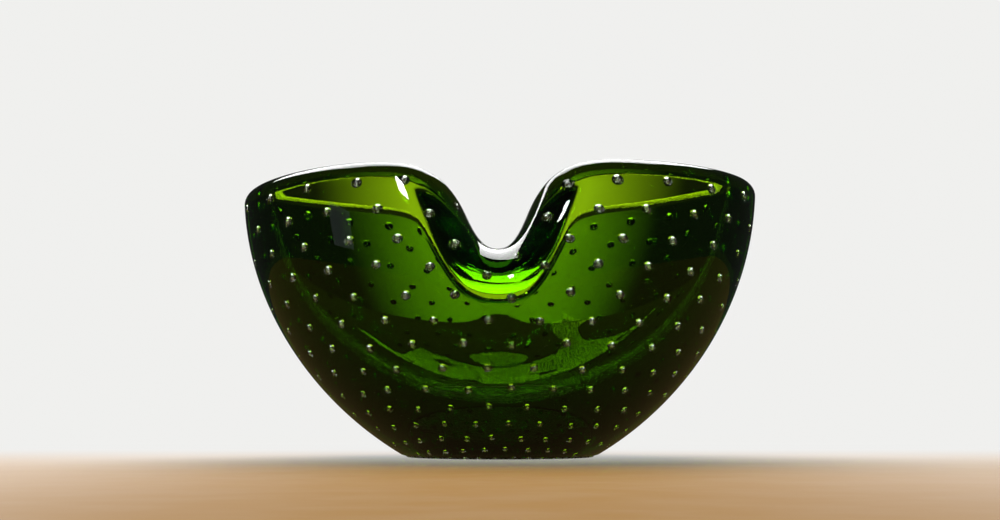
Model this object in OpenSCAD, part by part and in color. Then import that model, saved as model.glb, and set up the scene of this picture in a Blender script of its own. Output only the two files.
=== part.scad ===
// Heavy glass bowl: a green cup cased in clear glass, with rings of air bubbles trapped in the
// casing. The round cup is squeezed from front to back while it is hot, and the front and back of
// its rim are pressed in and down, so that the opening becomes two lobes with a waist between them.
// Millimetres, +Z up. The origin is the middle of the ground foot. The lobes lie along X.

/* [Bowl] */
// Width over the two lobes
bowl_w = 150.5; // [142:0.5:160]
// Height of the rim above the table, before its ends drop
bowl_h = 81.5; // [77:0.5:84]
// How far the two ends of the rim drop
end_drop = 3.2; // [0:0.1:5]
// Share by which the left end drops more, and the right end less
end_lean = 0.45; // [0:0.05:0.6]
// Diameter of the flat ground foot
foot_d = 54.5; // [48:0.5:60]
// Slope of the wall just under the rim, in degrees
rim_slope = 86.5; // [83:0.5:88]

/* [Glass] */
// Thickness of the wall at the rim
wall_t = 8.8; // [8:0.1:9]
// Thickness of the clear casing at the rim
casing_t = 4.6; // [4.2:0.1:5]
// Height of the bottom of the hollow above the table
floor_t = 10; // [9:0.5:15]
// Thickness of the clear casing under the green cup
foot_casing_t = 4; // [3:0.5:5]

/* [Folding] */
// Share of the rim's width that is lost from front to back
squeeze = 0.28; // [0.24:0.01:0.32]
// How late on its way up the wall narrows
squeeze_rise = 1.5; // [1.3:0.1:1.6]
// Roundness of the two ends of the squeezed rim
end_roundness = 0.14; // [0.1:0.01:0.3]
// Height at which the wall starts to bend inwards into a fold
fold_start = 35.5; // [33:0.5:37]
// Height of the top of a folded lip
fold_top = 60.3; // [59.7:0.1:64]
// Half width of a fold at half its bend
fold_w = 9.3; // [9:0.1:12]
// How steeply a fold fades out to its sides
fold_fade = 2.5; // [2.1:0.1:2.6]
// Share by which the glass is thicker in the middle of a fold
fold_swell = 0.1; // [0:0.01:0.2]
// Distance of the folds from the middle, along the bowl
fold_x = -0.5; // [-1.5:0.1:1.5]
// How much wider a fold is on its left than on its right
fold_lean = 0.05; // [0:0.01:0.07]

/* [Bubbles] */
// Number of rings of bubbles
ring_count = 14; // [6:1:15]
// Number of bubbles in a ring
ring_bubbles = 25; // [12:1:28]
// Diameter of the bubbles under the rim
bubble_d = 2.8; // [1.6:0.1:3]
// Diameter of the bubbles next to the foot
small_bubble_d = 1.6; // [1:0.1:2]

/* [Hidden] */

steps_round = 96;
steps_wall = 20;
steps_bowl = 18;
steps_lip = 4;
bubble_faces = 32;

// Step that the slopes of the wall are measured over, in degrees round the bowl and as a share
turn_step = 0.5;
wall_step = 0.005;
// Least share of the full bend, where a fold has faded out
tiny = 0.000001;
// Height above and below the start of a fold over which the bend sets in
fold_soft = 10;
// Clear glass between a bubble and the green cup
bubble_gap = 0.3;
// Angle on the green cup's outline at which the lowest ring sits, and from the highest to the rim
low_ring_angle = 13;
top_ring_gap = 1.5;
// How much closer the rings are towards the foot
ring_crowding = 1.08;

half_w = bowl_w / 2;
foot_r = foot_d / 2;
lip_h = wall_t / 2;
wall_h = bowl_h - lip_h;

// The outside of the round cup is one arc from the foot to the rim
run = half_w - foot_r;
arc_r = (run ^ 2 + wall_h ^ 2) / (2 * (run * sin(rim_slope) - wall_h * cos(rim_slope)));
arc_x = half_w - arc_r * sin(rim_slope);
arc_z = wall_h + arc_r * cos(rim_slope);
foot_slope = atan2(foot_r - arc_x, arc_z);

function unit(v) = v / norm(v);
function clamp(v, low, high) = min(max(v, low), high);
function slope_at(share) = foot_slope + share * (rim_slope - foot_slope);

// Radius and height on the outside of the round cup, at a share of the way up the wall
function wall_point(share) =
    let (s = slope_at(share))
    [arc_x + arc_r * sin(s), arc_z - arc_r * cos(s)];

// The squeeze narrows the cup front to back, more towards the rim, and leaves its ends rounded
function softened(value) = sqrt(value ^ 2 + end_roundness ^ 2) - end_roundness;
function end_blend(turn) = softened(sin(turn)) / softened(1);
function squeezed(r, z, turn) =
    let (narrow = squeeze * (max(z, 0) / bowl_h) ^ squeeze_rise)
    r * (1 - narrow * end_blend(turn)) * [cos(turn), sin(turn)];

// The rim is lower at its two ends than at its shoulders
function dropped(z, turn) =
    let (drop = end_drop * (1 - end_lean * cos(turn)))
    z - drop * (1 - end_blend(turn)) * (max(z, 0) / bowl_h) ^ 2;

// Depth of the wall behind a fold, from the middle of the bowl
fold_y = squeezed(half_w, (fold_start + bowl_h) / 2, 90)[1];

// How far a fold is folded at a distance along the bowl: fully at its middle, not at all at the ends
function bell(ratio) = 1 / (1 + abs(ratio) ^ fold_fade);
fold_tail = bell(half_w / fold_w);
function fold_share(x) =
    let (
        aside = x - fold_x,
        reach = fold_w * (1 - fold_lean * sign(aside))
    )
    max((bell(aside / reach) - fold_tail) / (1 - fold_tail), tiny);

// A fold bends the wall inwards round a level axis
function folded(x, y, z) =
    let (
        bend = fold_share(x) / (fold_top - fold_start),
        past = z - fold_start,
        start = clamp(past / fold_soft + 1, 0, 2) / 2,
        length = fold_soft * (2 * start ^ 3 - start ^ 4) + max(past - fold_soft, 0),
        angle = bend * length * 180 / PI,
        out = abs(y) - fold_y,
        y_new = fold_y - (1 - cos(angle)) / bend + out * cos(angle),
        z_new = z - length + sin(angle) / bend + out * sin(angle)
    )
    [x, sign(y) * y_new, z_new];

// The outside of the finished bowl
function outside(share, turn) =
    let (
        p = wall_point(share),
        q = squeezed(p[0], p[1], turn)
    )
    folded(q[0], q[1], dropped(p[1], turn));

// A point of the glass is [share of the way up the wall, distance outwards, distance upwards],
// so that the glass keeps its thickness where the wall bends, and gathers in the folds
function placed(point, turn) =
    let (
        share = point[0],
        up = unit(outside(share + wall_step, turn) - outside(share - wall_step, turn)),
        along = outside(share, turn + turn_step) - outside(share, turn - turn_step),
        out = unit(cross(along, up)),
        base = outside(share, turn),
        swell = 1 + fold_swell * (fold_share(base[0]) * clamp(share, 0, 1)) ^ 2
    )
    base + swell * (point[1] * out + point[2] * up);

// The same point from its radius and height in the round cup
function in_wall(r, z) =
    let (
        slope = clamp(atan2(r - arc_x, arc_z - z), foot_slope, rim_slope),
        share = (slope - foot_slope) / (rim_slope - foot_slope),
        gap = [r, z] - wall_point(share)
    )
    [share, gap * [sin(slope), -cos(slope)], gap * [cos(slope), sin(slope)]];

// An inner layer is an elliptic bowl, level at the axis and parallel to the wall at the rim
function bowl_angle(depth, bottom) =
    let (
        r = half_w - depth * sin(rim_slope),
        rise = wall_h + depth * cos(rim_slope) - bottom
    )
    acos(rise / (tan(rim_slope) * r - rise));
function bowl_point(depth, bottom, angle) =
    let (
        top = bowl_angle(depth, bottom),
        r = half_w - depth * sin(rim_slope),
        rise = wall_h + depth * cos(rim_slope) - bottom,
        deep = rise / (1 - cos(top))
    )
    in_wall(r / sin(top) * sin(angle), bottom + deep * (1 - cos(angle)));
function bowl_rows(depth, bottom) =
    [for (i = [1:steps_bowl]) bowl_point(depth, bottom, bowl_angle(depth, bottom) * i / steps_bowl)];

// The lip is a half round from the outside of the wall, over the top, to the inside
function lip_point(angle) = [1, -lip_h * (1 - cos(angle)), lip_h * sin(angle)];
casing_lip_angle = acos(1 - casing_t / lip_h);

wall_rows = [for (i = [0:steps_wall]) [i / steps_wall, 0, 0]];
outer_lip_rows = [for (i = [1:steps_lip]) lip_point(casing_lip_angle * i / steps_lip)];
inner_lip_rows =
    [for (i = [1:steps_lip - 1]) lip_point(casing_lip_angle + (180 - casing_lip_angle) * i / steps_lip)];
cup_rows = bowl_rows(casing_t, foot_casing_t);
hollow_rows = bowl_rows(wall_t, floor_t);
function reversed(list) = [for (i = [len(list) - 1:-1:0]) list[i]];

// A closed skin through rows of points, from one point on the axis to another
module glass_skin(first_z, rows, last_z) {
    n = steps_round;
    count = len(rows);
    ring_points = [for (row = rows, i = [0:n - 1]) placed(row, i * 360 / n)];
    points = concat([[0, 0, first_z]], ring_points, [[0, 0, last_z]]);
    last = len(points) - 1;
    first_fan = [for (i = [0:n - 1]) [0, 1 + i, 1 + (i + 1) % n]];
    last_fan = [for (i = [0:n - 1]) let (row = 1 + (count - 1) * n) [row + i, last, row + (i + 1) % n]];
    lower = [
        for (k = [0:count - 2], i = [0:n - 1])
            [1 + k * n + i, 1 + (k + 1) * n + i, 1 + k * n + (i + 1) % n]
    ];
    upper = [
        for (k = [0:count - 2], i = [0:n - 1])
            [1 + k * n + (i + 1) % n, 1 + (k + 1) * n + i, 1 + (k + 1) * n + (i + 1) % n]
    ];
    polyhedron(points, concat(first_fan, lower, upper, last_fan));
}

// The rings are staggered, and the bubbles grow towards the rim
module bubbles() {
    reach = bowl_angle(casing_t, foot_casing_t) - top_ring_gap - low_ring_angle;
    for (ring = [0:ring_count - 1]) {
        share = ring / (ring_count - 1);
        d = small_bubble_d + share * (bubble_d - small_bubble_d);
        seat = bowl_point(casing_t, foot_casing_t, low_ring_angle + reach * share ^ ring_crowding);
        stagger = ((ring + 1) % 2) / 2;
        for (i = [0:ring_bubbles - 1])
            translate(placed(seat + [0, d / 2 + bubble_gap, 0], (i + stagger) * 360 / ring_bubbles))
                sphere(d = d, $fn = bubble_faces);
    }
}

module clear_casing() {
    color([0.82, 0.9, 0.86, 0.45])
        difference() {
            glass_skin(0, concat(wall_rows, outer_lip_rows, reversed(cup_rows)), foot_casing_t);
            bubbles();
        }
}

module green_cup() {
    color([0.2, 0.5, 0.05, 0.8])
        glass_skin(
            foot_casing_t,
            concat(cup_rows, [outer_lip_rows[steps_lip - 1]], inner_lip_rows, reversed(hollow_rows)),
            floor_t
        );
}

clear_casing();
green_cup();
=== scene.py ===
"""Looks of a heavy green glass bowl cased in clear glass, with air bubbles trapped in the casing.

The shape is worked out in millimetres, in the CAD frame: +Z up, the two lobes along X, the foot on z = 0.
"""
import math

import bpy
import numpy as np
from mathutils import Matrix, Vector


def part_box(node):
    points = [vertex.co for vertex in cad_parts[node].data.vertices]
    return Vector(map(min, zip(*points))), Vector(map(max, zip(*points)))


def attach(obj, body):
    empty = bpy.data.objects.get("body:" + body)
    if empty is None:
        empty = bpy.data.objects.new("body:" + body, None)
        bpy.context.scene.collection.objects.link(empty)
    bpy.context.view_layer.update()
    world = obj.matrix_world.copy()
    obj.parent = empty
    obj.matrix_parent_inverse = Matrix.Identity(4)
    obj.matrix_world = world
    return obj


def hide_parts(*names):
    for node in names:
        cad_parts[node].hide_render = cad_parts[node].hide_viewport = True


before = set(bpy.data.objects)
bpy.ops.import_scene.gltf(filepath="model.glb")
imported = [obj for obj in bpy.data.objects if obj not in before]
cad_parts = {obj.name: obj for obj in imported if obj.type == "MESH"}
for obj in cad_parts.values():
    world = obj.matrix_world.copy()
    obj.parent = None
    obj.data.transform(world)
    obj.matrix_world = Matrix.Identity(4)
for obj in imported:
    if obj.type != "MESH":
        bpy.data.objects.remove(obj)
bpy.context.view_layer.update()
CASING_LOW, CASING_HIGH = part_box("clear_casing")

MM = 0.001
DEG = math.pi / 180

# Bowl. The width comes from the CAD box; the others are the part's driving dimensions.
BOWL_W = (CASING_HIGH[0] - CASING_LOW[0]) / MM
RIM_H = 81.5
END_DROP = 3.2
END_LEAN = 0.45
FOOT_D = 54.5
RIM_SLOPE = 86.5 * DEG

# Glass
WALL_T = 8.8
CASING_T = 4.6
FLOOR_T = 10.0
FOOT_CASING_T = 4.0
# The coloured layer lies this far inside the surface of the hollow, so that no two surfaces meet
COLOUR_INSET = 0.12

# Squeeze and folds
SQUEEZE = 0.28
SQUEEZE_RISE = 1.5
END_ROUNDNESS = 0.14
FOLD_START = 35.5
FOLD_TOP = 60.3
FOLD_W = 9.3
FOLD_FADE = 2.5
FOLD_SWELL = 0.1
FOLD_X = -0.5
FOLD_LEAN = 0.05
FOLD_SOFT = 10.0

# Bubbles
RING_COUNT = 14
RING_BUBBLES = 25
BUBBLE_D = 2.8
SMALL_BUBBLE_D = 1.6
BUBBLE_GAP = 0.3
LOW_RING_ANGLE = 13 * DEG
TOP_RING_GAP = 1.5 * DEG
RING_CROWDING = 1.08
# How uneven the bubbles are: a share of their size and spacing, and an angle up the wall
UNEVEN = 0.06
UNEVEN_ANGLE = 0.4 * DEG
SEED = 7
# How much wider the bubbles under the rim are, and how flat all of them are
BUBBLE_STRETCH = 0.14
BUBBLE_FLATNESS = 0.95
BALL_TURNS = 14
BALL_ROWS = 9

# Ground foot: a rounded edge, a flat land inside it and a shallow hollow in the middle
FOOT_EDGE = 0.6
BEVEL_W = 0.54
BEVEL_H = 0.36
FOOT_LAND = 5.0
FOOT_HOLLOW = 0.5

# Fineness of the meshes
TURNS = 384
WALL_ROWS = 64
LIP_ROWS = 18
BOWL_ROWS = 60
# Rings of points on the foot, as shares of the way out over its hollow and its land
FOOT_HOLLOW_STEPS = (0.2, 0.4, 0.6, 0.8, 0.92, 1.0)
FOOT_LAND_STEPS = (0.33, 0.67, 1.0)

# Step that the slopes of the wall are measured over, as a share of its height and round the bowl
WALL_STEP = 0.005
TURN_STEP = 0.5 * DEG
# Least share of the full bend, where a fold has faded out
TINY = 1e-6

# Looks of the glass
GLASS_INDEX = 1.5
# How much red, green and blue light the green glass takes out, per metre
ABSORBED = (300.0, 160.0, 1300.0)
BUBBLE_MIRROR = 0.8
# Range that most of a noise texture's values lie in
NOISE_LOW = 0.35
NOISE_HIGH = 0.65
# Order of the materials on the surface between glass and air
GLASS_SLOT, BUBBLE_SLOT, FOOT_SLOT = range(3)

# Colours of the stage as the camera sees it
TABLE_BROWN = (0.36, 0.19, 0.05, 1)
# The tan is the brown wood with a painted reflection of the pale wall
TABLE_TAN_WITH_PAINTED_REFLECTION = (0.59, 0.45, 0.33, 1)
# Pale: the background, and also a painted glow on the table behind the bowl
PALE = (0.87, 0.87, 0.855, 1)
BACKDROP_COLOUR = (1.0, 1.0, 0.985, 1)
BACKDROP_GLOW = 0.87

# Colours that the glass mirrors: the table in the shade, and a dim room
TABLE_SHADE = (0.075, 0.05, 0.018, 1)
ROOM = (0.02, 0.02, 0.02, 1)

# Table: brown wood within one distance of the middle and tan past another, the tan being a painted
# reflection of the pale wall; towards the back a painted pale glow stands in for the wall's reflection
# there
TABLE_W = 3000.0
TABLE_FRONT = 1500.0
TABLE_BACK = 500.0
TABLE_GAP = 0.05
TABLE_SHEEN = 0.05
BROWN_HALF_W = 5.0
PAINTED_REFLECTION_HALF_W = 120.0
FADE_FRONT = -130.0
FADE_BACK = 120.0

# Backdrop, fully lit within one distance of its middle
BACKDROP_Y = 1200.0
BACKDROP_Z = 300.0
BACKDROP_W = 600.0
BACKDROP_H = 3000.0
BACKDROP_LIT = 60.0

# Lights: place, what it points at, width, height, power in watts and colour
WINDOW = ((-1000, -400, 300), (0, 0, 40), 200, 300, 0.05, (0.8, 0.9, 1.0))
OVERHEAD = ((-100, 560, 960), (0, 0, 60), 1300, 900, 24, (1.0, 1.0, 1.0))
GLINT = ((-250, -700, 900), (0, 0, 40), 120, 120, 2, (1.0, 1.0, 1.0))

# Where the camera stands, in front of the bowl and almost on the table
CAMERA_D = 405.0
CAMERA_H = 11.0
VIEW_W = 295.0
AIM_H = 57.5

LIP_H = WALL_T / 2
HALF_W = BOWL_W / 2
FOOT_R = FOOT_D / 2
WALL_H = RIM_H - LIP_H

# The outside of the round cup is one arc from the foot to the rim
RUN = HALF_W - FOOT_R
ARC_R = (RUN ** 2 + WALL_H ** 2) / (2 * (RUN * math.sin(RIM_SLOPE) - WALL_H * math.cos(RIM_SLOPE)))
ARC_X = HALF_W - ARC_R * math.sin(RIM_SLOPE)
ARC_Z = WALL_H + ARC_R * math.cos(RIM_SLOPE)
FOOT_SLOPE = math.atan2(FOOT_R - ARC_X, ARC_Z)


# ---------------------------------------------------------------- shape of the glass

def wall_point(share):
    """Radius and height on the outside of the round cup."""
    slope = FOOT_SLOPE + share * (RIM_SLOPE - FOOT_SLOPE)
    return ARC_X + ARC_R * np.sin(slope), ARC_Z - ARC_R * np.cos(slope)


def end_blend(turn):
    """0 at the two ends of the bowl and 1 at its front and back."""
    def softened(value):
        return np.sqrt(value ** 2 + END_ROUNDNESS ** 2) - END_ROUNDNESS
    return softened(np.sin(turn)) / softened(1.0)


def squeezed(r, z, turn):
    """The cup narrows from front to back, more towards the rim."""
    narrow = SQUEEZE * (np.maximum(z, 0) / RIM_H) ** SQUEEZE_RISE
    r = r * (1 - narrow * end_blend(turn))
    return r * np.cos(turn), r * np.sin(turn)


def dropped(z, turn):
    """The rim hangs a little lower at its two ends."""
    drop = END_DROP * (1 - END_LEAN * np.cos(turn))
    return z - drop * (1 - end_blend(turn)) * (np.maximum(z, 0) / RIM_H) ** 2


# Depth of the wall behind a fold, from the middle of the bowl
FOLD_Y = float(squeezed(HALF_W, (FOLD_START + RIM_H) / 2, math.pi / 2)[1])


def bell(ratio):
    return 1 / (1 + np.abs(ratio) ** FOLD_FADE)


FOLD_TAIL = bell(HALF_W / FOLD_W)


def fold_share(x):
    """1 in the middle of the folds, and 0 at the two ends of the bowl."""
    aside = x - FOLD_X
    reach = FOLD_W * (1 - FOLD_LEAN * np.sign(aside))
    return np.maximum((bell(aside / reach) - FOLD_TAIL) / (1 - FOLD_TAIL), 0)


def folded(x, y, z):
    """Each fold bends the wall inwards round a level axis."""
    bend = np.maximum(fold_share(x), TINY) / (FOLD_TOP - FOLD_START)
    past = z - FOLD_START
    start = np.clip(past / FOLD_SOFT + 1, 0, 2) / 2
    length = FOLD_SOFT * (2 * start ** 3 - start ** 4) + np.maximum(past - FOLD_SOFT, 0)
    angle = bend * length
    out = np.abs(y) - FOLD_Y
    y_new = FOLD_Y - (1 - np.cos(angle)) / bend + out * np.cos(angle)
    z_new = z - length + np.sin(angle) / bend + out * np.sin(angle)
    return np.stack([x, np.sign(y) * y_new, z_new], -1)


def outside(share, turn):
    """The outside of the finished bowl."""
    r, z = wall_point(share)
    x, y = squeezed(r, z, turn)
    return folded(x, y, dropped(z, turn))


def unit(v):
    return v / np.linalg.norm(v, axis=-1, keepdims=True)


def rise_at(share, turn):
    """The direction up along the wall."""
    return unit(outside(share + WALL_STEP, turn) - outside(share - WALL_STEP, turn))


def placed(share, out, up, turn):
    """A point of the glass, given how far it is outwards from the outside of the wall and up along it."""
    share, out, up, turn = np.broadcast_arrays(share, out, up, turn)
    rise = rise_at(share, turn)
    along = outside(share, turn + TURN_STEP) - outside(share, turn - TURN_STEP)
    normal = unit(np.cross(along, rise))
    base = outside(share, turn)
    swell = 1 + FOLD_SWELL * (fold_share(base[..., 0]) * np.clip(share, 0, 1)) ** 2
    return base + (swell * out)[..., None] * normal + (swell * up)[..., None] * rise


def in_wall(r, z):
    """The same measures from the point's radius and height in the round cup."""
    slope = np.clip(np.arctan2(r - ARC_X, ARC_Z - z), FOOT_SLOPE, RIM_SLOPE)
    share = (slope - FOOT_SLOPE) / (RIM_SLOPE - FOOT_SLOPE)
    wall_r, wall_z = wall_point(share)
    out = (r - wall_r) * np.sin(slope) - (z - wall_z) * np.cos(slope)
    up = (r - wall_r) * np.cos(slope) + (z - wall_z) * np.sin(slope)
    return share, out, up


def bowl_angle(depth, bottom):
    r = HALF_W - depth * math.sin(RIM_SLOPE)
    rise = WALL_H + depth * math.cos(RIM_SLOPE) - bottom
    return math.acos(rise / (math.tan(RIM_SLOPE) * r - rise))


def bowl_point(depth, bottom, angle):
    """A point on an elliptic bowl that is level at the axis and parallel to the wall at the rim."""
    top = bowl_angle(depth, bottom)
    r = HALF_W - depth * math.sin(RIM_SLOPE)
    rise = WALL_H + depth * math.cos(RIM_SLOPE) - bottom
    deep = rise / (1 - math.cos(top))
    return in_wall(r / math.sin(top) * np.sin(angle), bottom + deep * (1 - np.cos(angle)))


# ---------------------------------------------------------------- grids of points, one row per height

def turn_grid():
    return np.linspace(0, 2 * math.pi, TURNS, endpoint=False)[None, :]


def wall_grid():
    share = (np.arange(1, WALL_ROWS + 1) / WALL_ROWS)[:, None]
    return placed(share, 0.0, 0.0, turn_grid())


def lip_grid(inset=0.0, first=0.0):
    """The half round of the lip, from its outside over the top to its inside."""
    angle = np.linspace(first, math.pi, LIP_ROWS + 1)[1:, None]
    r = LIP_H - inset
    return placed(1.0, -LIP_H + r * np.cos(angle), r * np.sin(angle), turn_grid())


def bowl_grid(depth, bottom):
    """An inner layer, from near the axis to the rim."""
    angle = (bowl_angle(depth, bottom) * np.arange(1, BOWL_ROWS + 1) / BOWL_ROWS)[:, None]
    share, out, up = bowl_point(depth, bottom, angle)
    return placed(share, out, up, turn_grid())


def ring(r, z):
    turn = turn_grid()
    return np.stack([r * np.cos(turn), r * np.sin(turn), z + 0 * turn], -1)


def foot_grid():
    """The ground foot, from near the axis to its rounded edge."""
    land_r = FOOT_R - FOOT_EDGE
    inner_r = land_r - FOOT_LAND
    rows = [ring(inner_r * s, FOOT_HOLLOW * (1 - s ** 2)) for s in FOOT_HOLLOW_STEPS]
    rows += [ring(inner_r + FOOT_LAND * s, 0.0) for s in FOOT_LAND_STEPS]
    for a in (45 * DEG, 90 * DEG):
        rows.append(ring(land_r + BEVEL_W * math.sin(a), BEVEL_H * (1 - math.cos(a))))
    return np.concatenate(rows)


# ---------------------------------------------------------------- meshes

def skin_faces(rows, turns):
    """Quads through rows of points, closed by a fan at the first and the last point."""
    k, i = np.meshgrid(np.arange(rows - 1), np.arange(turns), indexing="ij")
    j = (i + 1) % turns
    row = 1 + k * turns
    quads = np.stack([row + i, row + j, row + turns + j, row + turns + i], -1).reshape(-1, 4)
    i = np.arange(turns)
    j = (i + 1) % turns
    last = 1 + rows * turns
    top = last - turns
    first_fan = np.stack([np.zeros_like(i), 1 + j, 1 + i], -1)
    last_fan = np.stack([np.full(turns, last), top + i, top + j], -1)
    return quads.tolist() + first_fan.tolist() + last_fan.tolist()


def skin(first, grid, last):
    """(points, faces) of a closed skin whose faces look away from the glass."""
    rows, turns = grid.shape[:2]
    points = np.concatenate([[first], grid.reshape(-1, 3), [last]])
    return points, skin_faces(rows, turns)


def make_object(name, points, faces):
    mesh = bpy.data.meshes.new(name)
    mesh.from_pydata((points * MM).tolist(), [], faces)
    mesh.validate()
    mesh.shade_smooth()
    obj = bpy.data.objects.new(name, mesh)
    bpy.context.scene.collection.objects.link(obj)
    return obj


def ball():
    """A unit ball whose faces look inwards, because the glass is outside it."""
    a = np.linspace(0, math.pi, BALL_ROWS + 2)[1:-1][:, None]
    t = np.linspace(0, 2 * math.pi, BALL_TURNS, endpoint=False)[None, :]
    grid = np.stack([np.sin(a) * np.cos(t), np.sin(a) * np.sin(t), np.cos(a) + 0 * t], -1)
    return skin(np.array([0, 0, 1.0]), grid, np.array([0, 0, -1.0]))


def bubble_places():
    """(centre, outward, upward, diameter, share of the rings) of each bubble, a little uneven."""
    rng = np.random.default_rng(SEED)
    top = bowl_angle(CASING_T, FOOT_CASING_T) - TOP_RING_GAP
    places = []
    for number in range(RING_COUNT):
        s = number / (RING_COUNT - 1)
        d = SMALL_BUBBLE_D + s * (BUBBLE_D - SMALL_BUBBLE_D)
        ring_angle = LOW_RING_ANGLE + s ** RING_CROWDING * (top - LOW_RING_ANGLE)
        stagger = ((number + 1) % 2) / 2
        for i in range(RING_BUBBLES):
            size = d * (1 + UNEVEN * rng.uniform(-1, 1))
            turn = (i + stagger + UNEVEN * rng.uniform(-1, 1)) * 2 * math.pi / RING_BUBBLES
            angle = ring_angle + UNEVEN_ANGLE * rng.uniform(-1, 1)
            share, out, up = bowl_point(CASING_T, FOOT_CASING_T, angle)
            out = out + d / 2 + BUBBLE_GAP
            centre = placed(share, out, up, turn)
            normal = unit(placed(share, out + 1, up, turn) - centre)
            places.append((centre, normal, rise_at(share, turn), size, s))
    return places


def moved_on(faces, base):
    """The same faces, for points that come after the first base points."""
    return [[v + base for v in face] for face in faces]


def bubble_mesh():
    """All the bubbles as one set of points and faces."""
    unit_points, unit_faces = ball()
    all_points, all_faces = [], []
    for centre, normal, rise, size, s in bubble_places():
        along = np.cross(rise, normal)
        axes = np.stack([along * (1 + BUBBLE_STRETCH * s), rise, normal * BUBBLE_FLATNESS])
        base = len(all_points) * len(unit_points)
        all_points.append(centre + (unit_points * size / 2) @ axes)
        all_faces.extend(moved_on(unit_faces, base))
    return np.concatenate(all_points), all_faces


def build_glass():
    """The whole surface between glass and air: outside, lip, hollow and bubbles."""
    hollow = bowl_grid(WALL_T, FLOOR_T)[:-1][::-1]
    foot = foot_grid()
    grid = np.concatenate([foot, wall_grid(), lip_grid(), hollow])
    points, faces = skin(np.array([0, 0, FOOT_HOLLOW]), grid, np.array([0, 0, FLOOR_T]))
    bubble_points, bubble_faces = bubble_mesh()
    slots = [GLASS_SLOT] * len(faces) + [BUBBLE_SLOT] * len(bubble_faces)
    foot_quads = (len(foot) - 1) * TURNS
    foot_fan = (len(grid) - 1) * TURNS
    slots[:foot_quads] = [FOOT_SLOT] * foot_quads
    slots[foot_fan:foot_fan + TURNS] = [FOOT_SLOT] * TURNS
    faces = faces + moved_on(bubble_faces, len(points))
    glass = make_object("clear_glass", np.concatenate([points, bubble_points]), faces)
    for material in (glass_material(), bubble_material(), foot_material()):
        glass.data.materials.append(material)
    glass.data.polygons.foreach_set("material_index", slots)
    return glass


def build_cup():
    """The green glass, a closed layer a hair inside the surface of the hollow."""
    outer = bowl_grid(CASING_T, FOOT_CASING_T)
    lip_angle = math.acos(1 - CASING_T / LIP_H)
    rim = lip_grid(COLOUR_INSET, lip_angle)
    hollow = bowl_grid(WALL_T - COLOUR_INSET, FLOOR_T - COLOUR_INSET)[:-1][::-1]
    grid = np.concatenate([outer, rim, hollow])
    points, faces = skin(np.array([0, 0, FOOT_CASING_T]), grid, np.array([0, 0, FLOOR_T - COLOUR_INSET]))
    return make_object("green_glass", points, faces)


# ---------------------------------------------------------------- materials

def new_material(name):
    mat = bpy.data.materials.new(name)
    mat.use_nodes = True
    nodes = mat.node_tree.nodes
    shader = next(n for n in nodes if n.type == "BSDF_PRINCIPLED")
    output = next(n for n in nodes if n.type == "OUTPUT_MATERIAL")
    return mat, shader, output


def new_glass(name, index):
    """Colourless glass of one refractive index."""
    mat, shader, output = new_material(name)
    shader.inputs["Base Color"].default_value = (1, 1, 1, 1)
    shader.inputs["Transmission Weight"].default_value = 1
    shader.inputs["IOR"].default_value = index
    return mat, shader, output


def add_noise(mat, scale, detail=2.0):
    nodes, links = mat.node_tree.nodes, mat.node_tree.links
    place = nodes.new("ShaderNodeTexCoord")
    noise = nodes.new("ShaderNodeTexNoise")
    noise.inputs["Scale"].default_value = scale
    noise.inputs["Detail"].default_value = detail
    links.new(place.outputs["Object"], noise.inputs["Vector"])
    return noise


def add_roughness(mat, shader, noise, low, high):
    nodes, links = mat.node_tree.nodes, mat.node_tree.links
    spread = nodes.new("ShaderNodeMapRange")
    spread.inputs["From Min"].default_value = NOISE_LOW
    spread.inputs["From Max"].default_value = NOISE_HIGH
    spread.inputs["To Min"].default_value = low
    spread.inputs["To Max"].default_value = high
    links.new(noise.outputs["Fac"], spread.inputs["Value"])
    links.new(spread.outputs["Result"], shader.inputs["Roughness"])


def add_bump(mat, shader, noise, strength, depth):
    nodes, links = mat.node_tree.nodes, mat.node_tree.links
    bump = nodes.new("ShaderNodeBump")
    bump.inputs["Strength"].default_value = strength
    bump.inputs["Distance"].default_value = depth * MM
    links.new(noise.outputs["Fac"], bump.inputs["Height"])
    links.new(bump.outputs["Normal"], shader.inputs["Normal"])


def add_fade(nodes, low, high):
    """A share that grows from 0 to 1 between two places, given in millimetres."""
    fade = nodes.new("ShaderNodeMapRange")
    fade.interpolation_type = "SMOOTHSTEP"
    fade.inputs["From Min"].default_value = low * MM
    fade.inputs["From Max"].default_value = high * MM
    return fade


def polish(mat, shader):
    """A fire-polished surface, a little wavy."""
    add_roughness(mat, shader, add_noise(mat, scale=90), low=0.0, high=0.012)
    add_bump(mat, shader, add_noise(mat, scale=28, detail=1.0), strength=0.25, depth=0.6)


def glass_material():
    """The clear glass of the casing, where it meets the air."""
    mat, shader, _ = new_glass("clear_glass", GLASS_INDEX)
    polish(mat, shader)
    return mat


def foot_material():
    """The ground foot, finely frosted."""
    mat, shader, _ = new_glass("ground_foot", GLASS_INDEX)
    add_roughness(mat, shader, add_noise(mat, scale=900, detail=4), low=0.22, high=0.38)
    add_bump(mat, shader, add_noise(mat, scale=2500, detail=4), strength=0.3, depth=0.05)
    return mat


def bubble_material():
    """The skin of a bubble, which mirrors the lamps much more than the glass outside does."""
    mat, shader, _ = new_glass("bubble_skin", GLASS_INDEX)
    shader.inputs["Metallic"].default_value = BUBBLE_MIRROR
    add_roughness(mat, shader, add_noise(mat, scale=400), low=0.0, high=0.02)
    add_bump(mat, shader, add_noise(mat, scale=600, detail=1.0), strength=0.1, depth=0.1)
    return mat


def green_material():
    """The green glass. Its surface bends no light, because glass of the same index lies against it."""
    mat, shader, output = new_glass("green_glass", 1.0)
    polish(mat, shader)
    volume = mat.node_tree.nodes.new("ShaderNodeVolumeAbsorption")
    density = max(ABSORBED)
    volume.inputs["Density"].default_value = density
    volume.inputs["Color"].default_value = [1 - a / density for a in ABSORBED] + [1]
    mat.node_tree.links.new(volume.outputs["Volume"], output.inputs["Volume"])
    return mat


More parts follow.
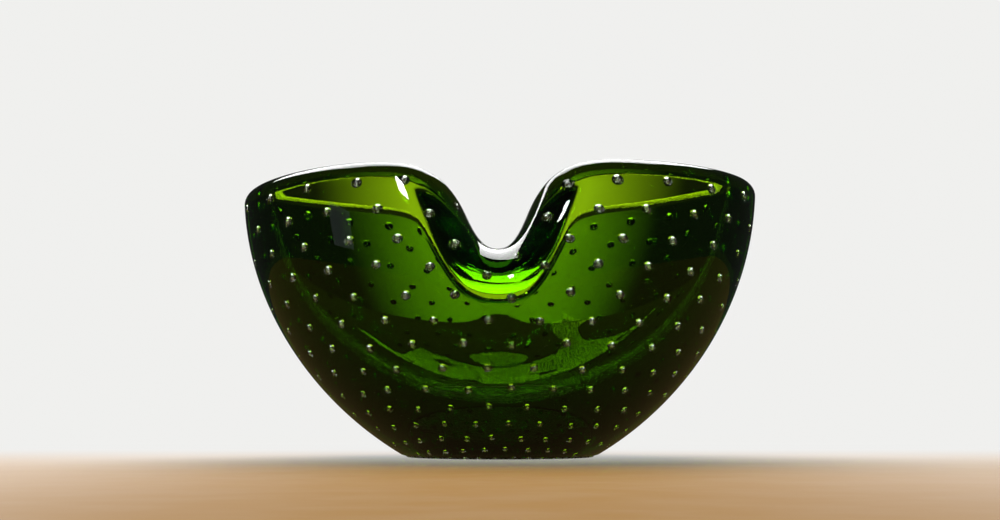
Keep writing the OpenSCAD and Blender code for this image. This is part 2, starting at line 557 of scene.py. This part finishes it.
def add_wood_and_painted_reflection(mat, shader, split):
    """Brown wood in the middle, and tan to either side, where a painted reflection of the pale wall is
    mixed in.
    """
    nodes, links = mat.node_tree.nodes, mat.node_tree.links
    side = nodes.new("ShaderNodeMath")
    side.operation = "ABSOLUTE"
    # Share of the painted reflection of the pale wall, growing to either side of the middle
    reflection_share = add_fade(nodes, BROWN_HALF_W, PAINTED_REFLECTION_HALF_W)
    wood_and_reflection = nodes.new("ShaderNodeMix")
    wood_and_reflection.data_type = "RGBA"
    brown, tan = (i for i in wood_and_reflection.inputs if i.type == "RGBA")
    brown.default_value = TABLE_BROWN
    tan.default_value = TABLE_TAN_WITH_PAINTED_REFLECTION
    colour = next(o for o in wood_and_reflection.outputs if o.type == "RGBA")
    links.new(split.outputs["X"], side.inputs[0])
    links.new(side.outputs["Value"], reflection_share.inputs["Value"])
    links.new(reflection_share.outputs["Result"], wood_and_reflection.inputs["Factor"])
    links.new(colour, shader.inputs["Base Color"])


def table_material():
    """A wooden table with a painted pale glow behind the bowl, standing in for its reflection of the
    bright wall, so that it fades into the background.

    The glass mirrors it as it looks in the shade of a dim room.
    """
    mat, shader, output = new_material("table_top")
    shader.inputs["Specular IOR Level"].default_value = TABLE_SHEEN
    add_roughness(mat, shader, add_noise(mat, scale=60), low=0.6, high=0.75)
    nodes, links = mat.node_tree.nodes, mat.node_tree.links
    place = nodes.new("ShaderNodeTexCoord")
    split = nodes.new("ShaderNodeSeparateXYZ")
    links.new(place.outputs["Object"], split.inputs["Vector"])
    add_wood_and_painted_reflection(mat, shader, split)
    # Painted glow: towards the back, pale emission stands in for the table's reflection of the bright
    # wall
    behind = add_fade(nodes, FADE_FRONT, FADE_BACK)
    pale = nodes.new("ShaderNodeEmission")
    pale.inputs["Color"].default_value = PALE
    seen = nodes.new("ShaderNodeMixShader")
    shade = nodes.new("ShaderNodeEmission")
    shade.inputs["Color"].default_value = TABLE_SHADE
    path = nodes.new("ShaderNodeLightPath")
    mix = nodes.new("ShaderNodeMixShader")
    links.new(split.outputs["Y"], behind.inputs["Value"])
    links.new(behind.outputs["Result"], seen.inputs["Fac"])
    links.new(shader.outputs["BSDF"], seen.inputs[1])
    links.new(pale.outputs["Emission"], seen.inputs[2])
    links.new(path.outputs["Is Camera Ray"], mix.inputs["Fac"])
    links.new(shade.outputs["Emission"], mix.inputs[1])
    links.new(seen.outputs["Shader"], mix.inputs[2])
    links.new(mix.outputs["Shader"], output.inputs["Surface"])
    return mat


def backdrop_material():
    """A white cloth. The glass mirrors it as lit in its middle and dim to the sides."""
    mat = bpy.data.materials.new("backdrop")
    mat.use_nodes = True
    nodes, links = mat.node_tree.nodes, mat.node_tree.links
    nodes.clear()
    glow = nodes.new("ShaderNodeEmission")
    glow.inputs["Color"].default_value = BACKDROP_COLOUR
    output = nodes.new("ShaderNodeOutputMaterial")
    place = nodes.new("ShaderNodeTexCoord")
    split = nodes.new("ShaderNodeSeparateXYZ")
    side = nodes.new("ShaderNodeMath")
    side.operation = "ABSOLUTE"
    fade = add_fade(nodes, BACKDROP_LIT, BACKDROP_W / 2)
    fade.inputs["To Min"].default_value = BACKDROP_GLOW
    fade.inputs["To Max"].default_value = ROOM[0]
    path = nodes.new("ShaderNodeLightPath")
    mix = nodes.new("ShaderNodeMix")
    mix.inputs["B"].default_value = BACKDROP_GLOW
    links.new(place.outputs["Object"], split.inputs["Vector"])
    links.new(split.outputs["X"], side.inputs[0])
    links.new(side.outputs["Value"], fade.inputs["Value"])
    links.new(path.outputs["Is Camera Ray"], mix.inputs["Factor"])
    links.new(fade.outputs["Result"], mix.inputs["A"])
    links.new(mix.outputs["Result"], glow.inputs["Strength"])
    links.new(glow.outputs["Emission"], output.inputs["Surface"])
    return mat


# ---------------------------------------------------------------- stage, light and camera

def build_plane(name, centre, width, height, facing):
    """A flat panel that faces along a direction."""
    turn = Vector(facing).to_track_quat("Z", "Y")
    corners = [(-1, -1), (1, -1), (1, 1), (-1, 1)]
    points = [Vector(centre) + turn @ Vector((a * width / 2, b * height / 2, 0)) for a, b in corners]
    obj = make_object(name, np.array([list(p) for p in points]), [[0, 1, 2, 3]])
    return obj


def build_table():
    centre = (0, (TABLE_BACK - TABLE_FRONT) / 2, -TABLE_GAP)
    obj = build_plane("table", centre, TABLE_W, TABLE_BACK + TABLE_FRONT, (0, 0, 1))
    obj.data.materials.append(table_material())


def build_backdrop():
    obj = build_plane("backdrop", (0, BACKDROP_Y, BACKDROP_Z), BACKDROP_W, BACKDROP_H, (0, -1, 0))
    obj.data.materials.append(backdrop_material())


def add_light(name, place, aim, width, height, power, colour):
    data = bpy.data.lights.new(name, "AREA")
    data.shape = "RECTANGLE"
    data.size = width * MM
    data.size_y = height * MM
    data.energy = power
    data.color = colour
    obj = bpy.data.objects.new(name, data)
    obj.location = Vector(place) * MM
    obj.rotation_mode = "QUATERNION"
    obj.rotation_quaternion = (Vector(place) - Vector(aim)).to_track_quat("Z", "Y")
    bpy.context.scene.collection.objects.link(obj)


def build_lights():
    add_light("window", *WINDOW)
    add_light("overhead", *OVERHEAD)
    add_light("glint", *GLINT)


def build_world():
    """A dim room for the glass to mirror, and a pale one behind the bowl in every view."""
    world = bpy.data.worlds.new("room")
    bpy.context.scene.world = world
    world.use_nodes = True
    nodes, links = world.node_tree.nodes, world.node_tree.links
    nodes.clear()
    path = nodes.new("ShaderNodeLightPath")
    room = nodes.new("ShaderNodeBackground")
    room.inputs["Color"].default_value = ROOM
    pale = nodes.new("ShaderNodeBackground")
    pale.inputs["Color"].default_value = PALE
    mix = nodes.new("ShaderNodeMixShader")
    output = nodes.new("ShaderNodeOutputWorld")
    links.new(path.outputs["Is Camera Ray"], mix.inputs["Fac"])
    links.new(room.outputs["Background"], mix.inputs[1])
    links.new(pale.outputs["Background"], mix.inputs[2])
    links.new(mix.outputs["Shader"], output.inputs["Surface"])


def build_camera():
    data = bpy.data.cameras.new("camera")
    data.sensor_width = 36
    place = Vector((0, -CAMERA_D, CAMERA_H))
    aim = Vector((0, 0, AIM_H))
    data.lens = data.sensor_width * (aim - place).length / VIEW_W
    data.clip_start, data.clip_end = 0.01, 20
    obj = bpy.data.objects.new("camera", data)
    obj.location = place * MM
    obj.rotation_mode = "QUATERNION"
    obj.rotation_quaternion = (aim - place).to_track_quat("-Z", "Y")
    bpy.context.scene.collection.objects.link(obj)
    bpy.context.scene.camera = obj


def set_light_paths():
    scene = bpy.context.scene
    scene.view_settings.view_transform = "Standard"
    cycles = scene.cycles
    cycles.max_bounces = 48
    cycles.transmission_bounces = 48
    cycles.glossy_bounces = 24
    cycles.diffuse_bounces = 4
    cycles.transparent_max_bounces = 32
    cycles.volume_bounces = 2
    cycles.caustics_reflective = True
    cycles.caustics_refractive = True
    cycles.use_denoising = True
    cycles.sample_clamp_indirect = 6


# ---------------------------------------------------------------- putting it together

def build_bowl():
    glass = build_glass()
    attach(glass, "root")
    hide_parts("clear_casing")
    cup = build_cup()
    cup.data.materials.append(green_material())
    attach(cup, "root")
    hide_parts("green_cup")


build_bowl()
build_table()
build_backdrop()
build_lights()
build_world()
build_camera()
set_light_paths()
